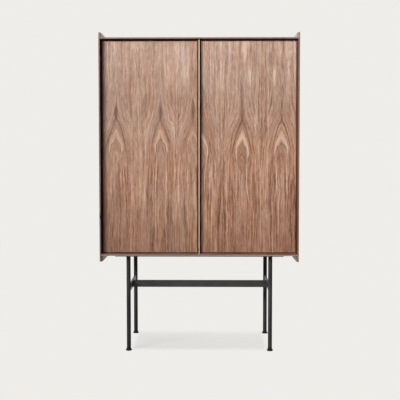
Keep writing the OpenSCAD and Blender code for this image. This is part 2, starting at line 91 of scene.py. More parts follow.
class HighboardWood(bpy.types.PropertyGroup):
    """Tones of the walnut veneer, and of the painted shade and painted sheen about the case's front edges
    """

    deepest: colour("Deepest", "Darkest lines of the walnut", (0.130, 0.048, 0.022))
    dark: colour("Dark", "Late wood, the dark side of each growth ring", (0.280, 0.140, 0.086))
    middle: colour("Middle", "Mean tone of the walnut", (0.390, 0.213, 0.137))
    light: colour("Light", "Early wood, the light side of each growth ring", (0.500, 0.298, 0.202))
    palest: colour("Palest", "Lightest lines of the walnut", (0.660, 0.440, 0.320))
    edge: colour("Edge", "Solid walnut at the thin front edges of the side panels", (0.285, 0.188, 0.150))
    top_edge: colour("Top edge", "Solid walnut at the front edge of the top panel", (0.310, 0.245, 0.235))
    bottom_edge: colour("Bottom edge", "Solid walnut at the bottom panel's front edge", (0.43, 0.29, 0.25))
    divider_edge: colour("Divider edge", "Solid walnut at the divider's front edge", (0.64, 0.45, 0.37))
    # Painted shade: shares of the tone left on the bevels in the recess behind the front edges; the bevels
    # that face right or down, away from the key lamp, get the deepest
    bevel: colour("Bevel", "Share of the tone left on the bevels that face left", (0.20, 0.14, 0.12))
    low_bevel_shade: colour("Low bevel", "Share of the tone left on the bottom panel's bevel", (0.62, 0.60, 0.62))
    deep_bevel_shade: colour("Deep bevel", "Share left on the bevels that face right or down", (0.12, 0.03, 0.01))
    # Painted sheen: a pale grey blended into the side panels' colour where they are seen at a low angle
    # beyond the case
    sheen: colour("Sheen", "Tone of the side panels' lacquer seen at a low angle", (0.56, 0.59, 0.60))
    # Painted shade on the lit strip of the side panels above the top panel
    raised: colour("Raised", "Share of the tone left on the lit strip above the top", (0.58, 0.60, 0.62))
    knot: colour("Dark mark", "Dark knot in the left panel's front edge", (0.035, 0.016, 0.010))
    leaf_width: FloatProperty(
        name="Leaf width", description="Width of one leaf of veneer", unit="LENGTH",
        default=0.2, min=0.08, max=0.5,
    )


class HighboardMetal(bpy.types.PropertyGroup):
    """Finish of the base and of the small fittings"""

    coat: colour("Coat", "Powder coat of the flat bars", (0.029, 0.029, 0.028))
    leg_coat: colour("Leg coat", "Powder coat of the round legs", (0.042, 0.042, 0.040))
    zinc: colour("Zinc", "Zinc plate of the screws and pins", (0.60, 0.61, 0.63))
    bead_radius: FloatProperty(
        name="Bead radius", description="Radius of a weld bead", unit="LENGTH",
        default=0.0016, min=0.0005, max=0.003, precision=4,
    )
    ripple_pitch: FloatProperty(
        name="Ripple pitch", description="Distance between two ripples of a weld bead", unit="LENGTH",
        default=0.0021, min=0.001, max=0.005, precision=4,
    )
    arris: FloatProperty(
        name="Arris", description="Radius of the steel bars' edges", unit="LENGTH",
        default=0.0009, min=0.0002, max=0.002, precision=4,
    )


class HighboardStudio(bpy.types.PropertyGroup):
    """Camera, lamps and floor"""

    lens: FloatProperty(
        name="Lens", description="Focal length of the camera in mm", default=63.238, min=20, max=200
    )
    key_power: FloatProperty(
        name="Key", description="Power of the large soft lamp at the front left", subtype="POWER",
        default=188, min=0, max=3000,
    )
    top_power: FloatProperty(
        name="Top", description="Power of the soft lamp above the cabinet", subtype="POWER",
        default=40, min=0, max=3000,
    )
    fill: FloatProperty(
        name="Fill", description="Strength of the even light from behind", default=0.55, min=0, max=2
    )
    front_fill: FloatProperty(
        name="Front fill", description="Strength of the even light from the front", default=0.015,
        min=0, max=2,
    )
    shadow: FloatProperty(
        name="Shadow", description="How much of the floor's shadow shows between the legs", default=0.3,
        min=0, max=1,
    )
    paper: colour("Paper", "Background and floor", (0.863, 0.847, 0.815))


class Recipe:
    """A node tree being drawn up. Each method adds a node, and most give back its first output."""

    def __init__(self, tree):
        self.tree = tree

    def node(self, kind, inputs=None, **settings):
        made = self.tree.nodes.new(kind)
        for name, value in settings.items():
            setattr(made, name, value)
        for key, value in (inputs or {}).items():
            if isinstance(value, bpy.types.NodeSocket):
                self.tree.links.new(value, made.inputs[key])
            else:
                made.inputs[key].default_value = value
        return made

    def math(self, operation, *values):
        return self.node(
            "ShaderNodeMath", dict(enumerate(values)), operation=operation
        ).outputs[0]

    def add(self, *values):
        return self.math("ADD", *values)

    def times(self, *values):
        return self.math("MULTIPLY", *values)

    def point(self, x, y, z=0.0):
        return self.node("ShaderNodeCombineXYZ", {0: x, 1: y, 2: z}).outputs[0]

    def noise(self, place, detail, roughness):
        return self.node("ShaderNodeTexNoise", {
            "Vector": place, "Scale": 1.0, "Detail": detail, "Roughness": roughness,
        }).outputs["Fac"]

    def about_zero(self, value, gain):
        """Turns a noise between 0 and 1 into one about 0."""
        return self.times(self.add(value, -0.5), gain)

    def fit(self, value, low, high, to_low=0.0, to_high=1.0, smooth=False):
        return self.node(
            "ShaderNodeMapRange",
            {"Value": value, "From Min": low, "From Max": high, "To Min": to_low, "To Max": to_high},
            interpolation_type="SMOOTHSTEP" if smooth else "LINEAR",
        ).outputs[0]

    def spot(self, x, y, centre_x, centre_y, half_width, half_height):
        """1 at the centre of a soft oval, falling to 0 around it."""
        across = self.math("DIVIDE", self.add(x, -centre_x), half_width)
        along = self.math("DIVIDE", self.add(y, -centre_y), half_height)
        square = self.add(self.times(across, across), self.times(along, along))
        return self.math("EXPONENT", self.times(square, -1.0))

    def curve(self, value, points, low=0.0, high=1.0):
        """Follows a smooth line through points (from, to), with from between low and high."""
        made = self.node("ShaderNodeFloatCurve", {"Value": self.fit(value, low, high)})
        line = made.mapping.curves[0]
        places = [((x - low) / (high - low), y) for x, y in points]
        while len(line.points) < len(places):
            line.points.new(0.5, 0.5)
        for spot, place in zip(line.points, places):
            spot.location = place
        made.mapping.update()
        return made.outputs[0]

    def ramp(self, value, stops):
        made = self.node("ShaderNodeValToRGB", {"Fac": value})
        elements = made.color_ramp.elements
        while len(elements) < len(stops):
            elements.new(0.5)
        for element, (place, tone) in zip(elements, stops):
            element.position = place
            element.color = (*tone, 1.0)
        return made.outputs["Color"]

    def blend(self, share, first, second, how="MIX"):
        made = self.node("ShaderNodeMix", data_type="RGBA", blend_type=how)
        sockets = made.inputs["Factor"], made.inputs[6], made.inputs[7]
        for socket, value in zip(sockets, (share, first, second)):
            if isinstance(value, bpy.types.NodeSocket):
                self.tree.links.new(value, socket)
            else:
                socket.default_value = value if isinstance(value, (int, float)) else (*value, 1.0)
        return made.outputs[2]

    def shades(self, share, tone, darker, lighter):
        """Runs from a darker to a lighter shade of one tone, each given as a share of it."""
        first, second = (tuple(min(1.0, gain * part) for part in tone) for gain in (darker, lighter))
        return self.blend(share, first, second)

    def object_vector(self):
        """Object coordinates, in metres."""
        return self.node("ShaderNodeTexCoord").outputs["Object"]

    def object_place(self):
        """The three Object coordinates, in metres."""
        return self.node("ShaderNodeSeparateXYZ", {0: self.object_vector()}).outputs

    def even_noise(self, scale, detail, distortion=0.0):
        """Noise on Object coordinates that is alike in all directions."""
        return self.node("ShaderNodeTexNoise", {
            "Vector": self.object_vector(), "Scale": scale, "Detail": detail, "Distortion": distortion,
        }).outputs["Fac"]


def new_material(name, base, roughness, metallic=0.0, **sockets):
    """A material and the recipe of its nodes. A constant is set on the shader's own socket."""
    made = bpy.data.materials.new(name)
    made.use_nodes = True
    made.diffuse_color = (*base, 1.0)
    shader = made.node_tree.nodes["Principled BSDF"]
    shader.inputs["Base Color"].default_value = (*base, 1.0)
    shader.inputs["Roughness"].default_value = roughness
    shader.inputs["Metallic"].default_value = metallic
    for name_of, value in sockets.items():
        shader.inputs[name_of.replace("_", " ")].default_value = value
    return made, Recipe(made.node_tree), shader


def connect(recipe, shader, tone, roughness, height, strength=0.3, distance=0.0004):
    """Joins what varies over the surface to the shader. With roughness None, its constant stays."""
    links = recipe.tree.links
    links.new(tone, shader.inputs["Base Color"])
    if roughness is not None:
        links.new(roughness, shader.inputs["Roughness"])
    bump = recipe.node("ShaderNodeBump", {"Height": height, "Strength": strength, "Distance": distance})
    links.new(bump.outputs[0], shader.inputs["Normal"])


def dress(nodes, material):
    """Gives CAD nodes a finished material."""
    for name in nodes:
        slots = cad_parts[name].data.materials
        slots.clear()
        slots.append(material)


def walnut_figure(wood):
    """Node group of flat-cut walnut in book-matched leaves.

    It takes places across and along the grain in metres. Three curves give the half width of three
    growth rings about the crown line of each leaf. The rings close into arches where the cut runs out
    of them, and run on as straight lines beside and below the arches."""
    tree = bpy.data.node_groups.new("walnut figure", "ShaderNodeTree")
    for name, default in (
        ("Across", 0.0), ("Along", 0.0), ("Joint", 0.0), ("Leaf width", 0.2), ("Crown", 0.1),
        ("Lift", 0.0), ("Crown strength", 1.0), ("Streak strength", 1.0), ("Stain", 0.0), ("Fleck", 0.0),
        ("Seed", 0.0), ("Faint leaf", NO_LEAF), ("Fall", 0.0),
    ):
        socket = tree.interface.new_socket(name=name, in_out="INPUT", socket_type="NodeSocketFloat")
        socket.default_value = default
    for name, kind in (("Tone", "Color"), ("Gloss", "Float"), ("Height", "Float")):
        tree.interface.new_socket(name=name, in_out="OUTPUT", socket_type="NodeSocket" + kind)
    r = Recipe(tree)
    given = r.node("NodeGroupInput").outputs

    # Place in the leaf, mirrored from leaf to leaf, and the same place with the wander of the rings
    from_joint = r.math("SUBTRACT", given["Across"], given["Joint"])
    leaf = r.math("FLOOR", r.math("DIVIDE", from_joint, given["Leaf width"]))
    drift = r.math("MULTIPLY_ADD", leaf, 0.3, given["Seed"])
    straight = r.math("SUBTRACT", r.math("PINGPONG", from_joint, given["Leaf width"]), given["Crown"])
    up = r.add(given["Along"], given["Lift"])

    def grain(place, across, along, step, detail, roughness=0.5):
        """Noise with its own scale across and along the grain. The step sets it apart from the others."""
        where = r.point(r.times(place, across), r.times(up, along), r.add(drift, step))
        return r.noise(where, detail, roughness)

    slow = grain(straight, 7.0, 2.6, 0.0, 1.5)
    quick = grain(straight, 24.0, 8.0, 5.0, 4.0, 0.62)
    sharp = grain(straight, 60.0, 17.0, 7.0, 3.0, 0.6)
    short_wander = r.add(r.about_zero(quick, 0.017), r.about_zero(sharp, 0.0065))
    out = r.add(straight, r.add(r.about_zero(slow, 0.024), short_wander))
    aside = r.math("ABSOLUTE", out)

    def by_height(*places, at=up):
        """Follows a smooth line through places (height, value)."""
        return r.curve(at, places, CURVE_FOOT, CURVE_HEAD)

    def half_width(*places):
        """Half width of a ring at each height, in metres, negative above the point where it closes."""
        line = by_height(
            *((height, 0.5 + WIDTH_SCALE * width) for height, width in places),
            at=r.add(up, r.about_zero(quick, 0.04)))
        return r.times(r.add(line, -0.5), 1 / WIDTH_SCALE)

    inner = half_width(
        (0.40, 0.024), (0.60, 0.017), (0.74, 0.024), (0.83, 0.015), (0.93, 0.020), (1.00, 0.024),
        (1.035, 0.022), (1.050, 0.013), (1.062, 0.0), (1.085, -0.012), (1.13, -0.026), (1.25, -0.045),
        (1.65, -0.055))
    middle = half_width(
        (0.40, 0.036), (0.60, 0.030), (0.74, 0.037), (0.83, 0.029), (0.93, 0.027), (0.985, 0.029),
        (1.015, 0.034), (1.064, 0.030), (1.086, 0.021), (1.110, 0.010), (1.125, 0.0), (1.20, -0.022),
        (1.30, -0.036), (1.65, -0.040))
    outer = half_width(
        (0.40, 0.060), (0.93, 0.052), (1.00, 0.050), (1.057, 0.042), (1.118, 0.027), (1.150, 0.014),
        (1.180, 0.0), (1.30, -0.018), (1.65, -0.022))
    # The ring at each place, from the three: 20, 36 and 52 mm out where the rings run straight
    ring, ring_step = 0.020, 0.016
    for low, high in ((inner, middle), (middle, outer)):
        share = r.math("DIVIDE", ring_step, r.math("SUBTRACT", high, low))
        reach = r.math("MINIMUM", aside, high)
        if low is middle:
            reach = r.math("MAXIMUM", reach, low)
        ring = r.add(ring, r.times(r.math("SUBTRACT", reach, low), share))
    ring = r.add(ring, r.math("MAXIMUM", r.math("SUBTRACT", aside, outer), 0.0))

    def by_ring(*places):
        """Follows a smooth line through places (ring, value)."""
        return r.curve(ring, places, 0.0, RING_REACH)

    def streaks(place, shift):
        """Long streaks along lines of equal place, pale and dark, from wide ones to narrow ones."""
        total = 0.0
        for across, along, step, detail, gain in (
            (27.0, 1.2, 29.0, 1.0, 0.44), (75.0, 1.7, 0.0, 2.0, 0.68), (140.0, 5.5, 9.0, 3.0, 0.95),
        ):
            layer = grain(place, across, along, shift + step, detail, 0.6)
            total = r.add(total, r.about_zero(layer, gain))
        for across, along, step, gain in ((125.0, 1.3, 73.0, 0.24), (110.0, 1.8, 79.0, -0.20)):
            layer = grain(place, across, along, shift + step, 1.0)
            total = r.add(total, r.fit(layer, 0.58, 0.74, 0.0, gain, smooth=True))
        return total

    # The streaks follow the rings about the arches and run straight elsewhere
    arched_heights = by_height(
        (0.40, 0.0), (0.86, 0.0), (1.00, 0.95), (1.22, 1.0), (1.30, 0.85), (1.44, 0.0), (1.65, 0.0))
    near_crown = r.fit(r.math("ABSOLUTE", straight), 0.045, 0.085, 1.0, 0.0, smooth=True)
    arched = r.times(arched_heights, near_crown)
    # The thinnest lines leave out the shortest wander, so that they stay long and straight close up
    steady = r.add(straight, r.add(r.about_zero(slow, 0.024), r.about_zero(quick, 0.012)))
    fine = grain(r.add(ring, r.about_zero(sharp, -0.008)), 460.0, 14.0, 17.0, 3.0, 0.62)
    fibre = grain(steady, 1500.0, 40.0, 31.0, 2.0, 0.6)
    mottle = grain(out, 60.0, 28.0, 41.0, 3.0, 0.6)
    pore = r.fit(grain(steady, 1500.0, 60.0, 53.0, 1.0, 0.4), 0.60, 0.72, smooth=True)

    # The crown's own lines, from its heart outwards: brown heart, dark line, pale arch, dark arch
    arches = by_ring(
        (0.000, 0.48), (0.0150, 0.46), (0.0195, 0.26), (0.0225, 0.50), (0.0260, 0.80), (0.0300, 0.95),
        (0.0345, 0.86), (0.0375, 0.54), (0.0445, 0.42), (0.0490, 0.14), (0.0520, 0.04), (0.0555, 0.22),
        (0.0590, 0.54), (0.0640, 0.48), (0.0690, 0.40), (0.0760, 0.50), (0.1500, 0.50))
    arch_zone = by_height(
        (0.40, 0.0), (0.94, 0.0), (1.00, 0.20), (1.05, 1.0), (1.18, 1.0), (1.26, 0.75),
        (1.40, 0.25), (1.50, 0.0), (1.65, 0.0))
    # The pale line on each side of the crown, below the arches
    flanks = by_ring(
        (0.000, 0.44), (0.006, 0.34), (0.010, 0.46), (0.024, 0.44), (0.0285, 0.50), (0.0325, 1.0),
        (0.0365, 0.52), (0.046, 0.46), (0.055, 0.40), (0.066, 0.50), (0.1500, 0.50))
    flank_zone = by_height(
        (0.40, 0.05), (0.66, 0.15), (0.80, 0.42), (0.95, 0.80), (1.02, 0.60), (1.08, 0.0), (1.65, 0.0))
    crown = r.add(
        r.times(r.about_zero(arches, 0.52), arch_zone), r.times(r.about_zero(flanks, 0.55), flank_zone)
    )
    # One pale fleck beside the crown line, and a dark spear and a dark stain on it above the arches
    wavy = r.add(up, r.about_zero(quick, 0.06))
    fleck = r.times(r.spot(straight, up, 0.037, 1.398, 0.0085, 0.046), given["Fleck"])
    spear = r.spot(out, wavy, 0.0, 1.235, 0.006, 0.06)
    stain = r.times(r.spot(straight, wavy, 0.003, 1.205, 0.0085, 0.036), given["Stain"])

    # The long streaks grow weaker among the arches and towards the top
    calm = r.times(arch_zone, r.spot(straight, 0.0, 0.0, 0.0, 0.06, 1.0))
    curved = r.times(streaks(ring, 0.0), r.times(arched, r.fit(calm, 0.0, 1.0, 1.0, 0.4)))
    upright = r.times(streaks(out, 101.0), r.math("SUBTRACT", 1.0, arched))
    streaked = r.times(r.add(curved, upright), r.fit(up, 1.22, 1.42, 1.0, 0.75))
    shade = r.add(0.5, r.times(streaked, given["Streak strength"]))
    for part, gain in ((fine, 0.95), (fibre, 0.75), (mottle, 0.30)):
        shade = r.add(shade, r.about_zero(part, gain))
    # One leaf may have fainter arches than the others
    faint = r.math("COMPARE", leaf, given["Faint leaf"], 0.5)
    crown = r.times(crown, r.fit(faint, 0.0, 1.0, 1.0, 0.35))
    shade = r.add(shade, r.times(crown, given["Crown strength"]))
    for part, gain in ((fleck, 0.36), (spear, -0.16), (stain, -0.26)):
        shade = r.add(shade, r.times(part, gain))
    # Painted shade: a sheet may be darker at its foot than at its head, standing in for light that falls
    # off downwards
    shade = r.add(shade, r.times(r.add(given["Along"], -FALL_MIDDLE), given["Fall"]))
    tone = r.ramp(shade, (
        (0.12, wood.deepest), (0.34, wood.dark), (0.50, wood.middle), (0.66, wood.light),
        (0.90, wood.palest),
    ))

    # Slow change of hue: grey violet in patches
    hue = grain(ring, 16.0, 1.7, 67.0, 2.0)
    violet = r.add(r.fit(hue, 0.42, 0.72, 0.0, 0.55), r.times(stain, 0.9))
    tone = r.blend(violet, tone, (0.90, 0.98, 1.12), "MULTIPLY")
    warmth = grain(ring, 48.0, 2.4, 83.0, 3.0, 0.6)
    tone = r.blend(1.0, tone, r.ramp(warmth, (
        (0.34, (0.95, 1.015, 1.07)), (0.50, (1.0, 1.0, 1.0)), (0.66, (1.05, 0.98, 0.91)),
    )), "MULTIPLY")
    # Paler and greyer upwards, darker and redder downwards: partly the wood's own change, partly painted
    # light that falls off towards the foot
    tone = r.blend(1.0, tone, r.ramp(r.fit(given["Along"], 0.45, 1.62), (
        (0.05, (0.90, 0.80, 0.745)), (0.17, (0.960, 0.880, 0.820)), (0.30, (1.140, 1.100, 1.065)),
        (0.42, (1.170, 1.165, 1.160)), (0.51, (1.09, 1.105, 1.10)), (0.68, (0.975, 1.02, 1.06)),
        (0.80, (1.06, 1.17, 1.26)), (0.95, (1.20, 1.36, 1.53)),
    )), "MULTIPLY")
    tone = r.blend(r.times(pore, 0.45), tone, (0.35, 0.28, 0.25), "MULTIPLY")

    gloss = r.add(r.fit(fine, 0.3, 0.7, 0.46, 0.36), r.times(pore, 0.18))
    height = r.add(r.times(fine, 0.1), r.times(pore, -0.7))
    result = r.node("NodeGroupOutput")
    for name, value in (("Tone", tone), ("Gloss", gloss), ("Height", height)):
        tree.links.new(value, result.inputs[name])
    return tree


def lipping(r, wood, tone, node):
    """Tone and shine of a case panel with its solid walnut lipping: pale nose, painted shade on the bevel.
    """
    x, y, z = r.object_place()
    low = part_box(node)[0]
    bevel_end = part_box("left_door")[0].y
    floor_level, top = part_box("bottom_panel")[0].z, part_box("top_panel")[1].z
    # Half the width over which one tone gives way to the next, in metres
    skin = 0.0004
    nose, lit_bevel_shade = wood.edge, wood.bevel
    if node == "left_side_panel":
        inside = r.fit(r.math("ABSOLUTE", x), -low.x - 2 * skin, -low.x - skin, 1.0, 0.0)
        # The left panel's bevel faces right, away from the key lamp, and gets the deepest painted shade
        unlit = r.fit(x, -skin, skin, 1.0, 0.0)
        # Painted reflection: beyond the case the side panels turn pale and grey where they are seen at a
        # low angle, standing in for the lacquer's sheen
        raised = r.fit(z, top, top + 3 * skin)
        lowered = r.fit(z, floor_level - 3 * skin, floor_level, 1.0, 0.0)
        facing = r.node("ShaderNodeLayerWeight", {"Blend": 0.5}).outputs["Facing"]
        low_angle = r.times(r.add(raised, lowered), r.fit(facing, 0.72, 0.90, 0.0, 0.9))
        tone = r.blend(low_angle, tone, wood.sheen)
        # Above the top panel painted shade makes the lit strip less bright than the doors, and both bevels
        # get less painted shade, so they are paler
        lit_strip = r.times(raised, r.fit(unlit, 1.0, 0.0, 0.0, inside))
        tone = r.blend(lit_strip, tone, wood.raised, "MULTIPLY")
        paler = r.times(r.fit(raised, 0.0, 1.0, 1.0, 0.15), r.fit(lowered, 0.0, 1.0, 1.0, 0.6))
        inside = r.times(inside, paler)
    elif node == "centre_divider":
        nose = wood.divider_edge
        inside = 1.0
        # The divider's right bevel faces away from the key lamp and gets the deepest painted shade
        unlit = r.fit(x, -skin, skin)
    else:
        inside = r.times(
            r.fit(z, floor_level + skin, floor_level + 2 * skin),
            r.fit(z, top - 2 * skin, top - skin, 1.0, 0.0))
        # The top panel's bevel faces down, away from the key lamp, and gets the deepest painted shade; the
        # bottom panel's faces up
        half_way = (floor_level + top) / 2
        unlit = r.fit(z, half_way - skin, half_way + skin)
        nose, lit_bevel_shade = r.blend(unlit, wood.bottom_edge, wood.top_edge), wood.low_bevel_shade
    # Painted shade in the recess between the front edge and the doors: the bevel's tone is darkened, and
    # its shine is lowered
    bevel = r.times(r.fit(y, bevel_end - skin, bevel_end + skin, 1.0, 0.0), inside)
    tone = r.blend(bevel, tone, r.blend(unlit, lit_bevel_shade, wood.deep_bevel_shade), "MULTIPLY")
    figured = r.noise(r.point(r.times(x, 400.0), r.times(z, 25.0), r.times(x, 30.0)), 3.0, 0.6)
    solid = r.blend(1.0, nose, r.ramp(figured, (
        (0.3, (0.82, 0.80, 0.78)), (0.7, (1.16, 1.18, 1.20)))), "MULTIPLY")
    tone = r.blend(r.fit(y, low.y + skin, low.y + 3 * skin, 0.9, 0.0), tone, solid)
    if node == "left_side_panel":
        # One dark mark, cut off at its lower end, in the front edge of the left panel
        knot = r.times(r.fit(z, 0.682, 0.684), r.fit(z, 0.690, 0.718, 1.0, 0.0))
        front = r.fit(y, bevel_end - skin, bevel_end + skin, 1.0, 0.0)
        outside = r.fit(x, low.x + 0.2 * skin, low.x + skin)
        tone = r.blend(r.times(r.times(knot, front), r.times(unlit, outside)), tone, wood.knot)
    return tone, r.fit(bevel, 0.0, 1.0, WALNUT_SHINE, 0.06)


def walnut(name, figure, wood, upright=True, lipped=None, **values):
    """Satin lacquered walnut whose grain stands upright or lies from left to right.

    A case panel is lipped along its front edge."""
    made, r, shader = new_material(name, wood.middle, 0.4, Specular_IOR_Level=WALNUT_SHINE)
    x, y, z = r.object_place()
    across, along = (r.add(x, y), z) if upright else (r.add(y, z), x)
    veneer = r.node("ShaderNodeGroup", node_tree=figure)
    for socket, value in (("Across", across), ("Along", along)):
        r.tree.links.new(value, veneer.inputs[socket])
    veneer.inputs["Leaf width"].default_value = wood.leaf_width
    for socket, value in values.items():
        veneer.inputs[socket.capitalize().replace("_", " ")].default_value = value
    tone = veneer.outputs["Tone"]
    if lipped:
        tone, shine = lipping(r, wood, tone, lipped)
        r.tree.links.new(shine, shader.inputs["Specular IOR Level"])
    connect(
        r, shader, tone, veneer.outputs["Gloss"], veneer.outputs["Height"], strength=0.2, distance=0.0001,
    )
    return made


class HIGHBOARD_OT_panels(bpy.types.Operator):
    """Veneer the doors, the case, the shelves and the rails in walnut"""

    bl_idname = "highboard.panels"
    bl_label = "Walnut panels"

    def execute(self, context):
        wood = context.scene.highboard_wood
        figure = walnut_figure(wood)
        dress(["left_door"], walnut(
            "walnut_left_door", figure, wood, joint=-0.503, crown=0.110, lift=-0.012, crown_strength=0.85,
            leaf_width=0.194, faint_leaf=1.0, streak_strength=0.88, stain=1.0, fleck=0.2, seed=4.4))
        dress(["right_door"], walnut(
            "walnut_right_door", figure, wood, joint=-0.083, crown=0.101, faint_leaf=-1.0,
            crown_strength=1.4, streak_strength=1.05, fall=0.085, stain=0.55, fleck=1.0, seed=6.9))
        dress(SIDE_PANELS, walnut(
            "walnut_case_sides", figure, wood, lipped="left_side_panel", joint=0.03, crown=0.09,
            lift=0.12, seed=7.4))
        dress(["centre_divider"], walnut(
            "walnut_divider", figure, wood, lipped="centre_divider", joint=0.05, crown=0.12,
            crown_strength=0.5, seed=9.2))
        dress(LEVEL_PANELS, walnut(
            "walnut_case_decks", figure, wood, upright=False, lipped="top_panel", joint=0.0, crown=0.1,
            lift=1.05, crown_strength=0.7, seed=11.8))
        dress(SHELVES, walnut(
            "walnut_shelves", figure, wood, upright=False, joint=0.02, crown=0.12, lift=0.9,
            crown_strength=0.7, seed=14.1))
        dress(INSIDE_RAILS, walnut(
            "walnut_rails", figure, wood, upright=False, joint=0.05, crown=0.15, lift=0.7,
            crown_strength=0.3, seed=19.6))
        dress(["back_panel"], walnut(
            "walnut_back", figure, wood, joint=-0.1, crown=0.1, lift=-0.05, crown_strength=0.8, seed=23.9))
        dress(["case_dowels"], plain_beech())
        return {"FINISHED"}


def plain_beech():
    """Plain beech with its short flecks along the dowels' length."""
    made, r, shader = new_material("beech", (0.68, 0.50, 0.30), 0.55)
    x, y, z = r.object_place()
    fleck = r.noise(r.point(r.times(x, 400.0), r.times(y, 1600.0), r.times(z, 700.0)), 2.0, 0.6)
    tone = r.blend(r.fit(fleck, 0.35, 0.7), (0.74, 0.56, 0.35), (0.55, 0.36, 0.19))
    connect(r, shader, tone, r.fit(fleck, 0.3, 0.7, 0.5, 0.62), fleck)
    return made


def powder_coat(name, coat, shine):
    """Satin black powder coat with its fine orange peel, a little dust and faint rubbing."""
    made, r, shader = new_material(name, coat, 0.42, Specular_IOR_Level=shine)
    peel, cloud = r.even_noise(900.0, 2.0), r.even_noise(14.0, 4.0)
    tone = r.shades(r.fit(cloud, 0.35, 0.7), coat, 0.8, 1.35)
    connect(r, shader, tone, r.fit(cloud, 0.3, 0.7, 0.34, 0.46), peel, strength=0.18, distance=0.0002)
    return made


def moulded(name, base, roughness, shine=0.5):
    """Moulded plastic with a fine spark-eroded grain."""
    made, r, shader = new_material(name, base, roughness, Specular_IOR_Level=shine)
    pits, flow = r.even_noise(1400.0, 2.0), r.even_noise(45.0, 3.0)
    tone = r.shades(r.fit(flow, 0.3, 0.7), base, 0.86, 1.08)
    connect(
        r, shader, tone, r.fit(pits, 0.3, 0.7, roughness - 0.08, roughness + 0.08), pits,
        strength=0.2, distance=0.0001,
    )
    return made


def plated(name, base, roughness=0.3):
    """Bright plated steel with drawn lines and slight clouding."""
    made, r, shader = new_material(name, base, roughness, metallic=1.0)
    x, y, z = r.object_place()
    drawn = r.noise(r.point(r.times(x, 2600.0), r.times(y, 2600.0), r.times(z, 160.0)), 3.0, 0.6)
    tone = r.shades(r.fit(r.even_noise(120.0, 3.0), 0.35, 0.7), base, 0.82, 1.12)
    connect(
        r, shader, tone, r.fit(drawn, 0.3, 0.7, roughness - 0.08, roughness + 0.14), drawn,
        strength=0.15, distance=0.00006,
    )
    return made


def pressed_felt():
    """Dark grey pressed felt, with matted fibres."""
    made, r, shader = new_material("felt", (0.12, 0.12, 0.12), 0.95)
    fluff = r.even_noise(1600.0, 4.0, 1.5)
    tone = r.blend(r.fit(fluff, 0.3, 0.7), (0.07, 0.07, 0.072), (0.19, 0.19, 0.185))
    connect(r, shader, tone, None, fluff, strength=0.8, distance=0.0003)
    return made


def clear_silicone():
    """Soft cloudy silicone."""
    made, r, shader = new_material("silicone", (0.70, 0.70, 0.70), 0.4)
    cloud = r.even_noise(500.0, 3.0)
    tone = r.blend(r.fit(cloud, 0.3, 0.7), (0.62, 0.63, 0.63), (0.76, 0.76, 0.75))
    connect(r, shader, tone, r.fit(cloud, 0.3, 0.7, 0.34, 0.46), cloud, strength=0.15, distance=0.0001)
    return made


class HIGHBOARD_OT_base(bpy.types.Operator):
    """Powder-coat the legs and bars, round the bars' edges, and finish the feet and pads"""

    bl_idname = "highboard.base"
    bl_label = "Steel base"

    def execute(self, context):
        metal = context.scene.highboard_metal
        dress(STEEL_BARS, powder_coat("black_powder_coat", metal.coat, 0.5))
        dress(LEGS, powder_coat("leg_powder_coat", metal.leg_coat, 0.1))
        for name in STEEL_BARS:
            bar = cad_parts[name]
            bar.modifiers.new("join", "WELD").merge_threshold = 0.00001
            edges = bar.modifiers.new("edges", "BEVEL")
            edges.width, edges.segments = metal.arris, 2
            edges.limit_method, edges.angle_limit = "ANGLE", math.radians(40)
            edges.harden_normals = True
        dress(FEET + ("left_pivot_bushes", "right_pivot_bushes"), moulded(
            "black_plastic", (0.012, 0.012, 0.012), 0.5, 0.12))
        dress(["foot_pads"], pressed_felt())
        return {"FINISHED"}


class HIGHBOARD_OT_fittings(bpy.types.Operator):
    """Finish the pivots, latches, pins, screws and buffers"""

    bl_idname = "highboard.fittings"
    bl_label = "Fittings"

    def execute(self, context):
        metal = context.scene.highboard_metal
        dress(ZINC_PARTS, plated("zinc_plate", tuple(metal.zinc)))
        dress(DARK_PARTS, plated("black_oxide", (0.06, 0.06, 0.065), 0.4))
        dress(["left_latch_magnet", "right_latch_magnet"], plated("magnet", (0.5, 0.5, 0.52), 0.22))
        dress(["left_latch_housing", "right_latch_housing"], moulded(
            "grey_plastic", (0.27, 0.28, 0.29), 0.5))
        dress(["left_latch_plunger", "right_latch_plunger"], moulded(
            "white_plastic", (0.78, 0.78, 0.75), 0.42))
        dress(["door_stop_buffers"], clear_silicone())
        return {"FINISHED"}


def weld_paths():
    """Lines that the weld beads follow, each a list of points and whether it closes."""
    low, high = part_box("left_stretcher")
    cross_low, cross_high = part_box("cross_stretcher")
    paths = []
    for side in (-1, 1):
        # Where the cross stretcher's end meets the inner face of a side stretcher
        x = side * -high.x
        for y in (cross_low.y, cross_high.y):
            paths.append(([(x, y, cross_low.z), (x, y, cross_high.z)], False))
        # Where a side stretcher's coped ends meet the legs
        for leg in ("front_left_leg", "rear_left_leg"):
            leg_low, leg_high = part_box(leg)
            axis = (leg_low + leg_high) / 2
            radius = (leg_high.x - leg_low.x) / 2
            half = (high.x - low.x) / 2
            inward = -math.copysign(1, axis.y)
            y = axis.y + inward * math.sqrt(radius ** 2 - half ** 2)
            for edge in (low.x, high.x):
                x = side * -edge
                paths.append(([(x, y, low.z), (x, y, high.z)], False))
            # Where a leg's top meets the frame rail
            ring = [
                (side * -(axis.x + radius * math.cos(a)), axis.y + radius * math.sin(a), leg_high.z)
                for a in (i * math.tau / RING_STEPS for i in range(RING_STEPS))
            ]
            paths.append((ring, True))
    return paths


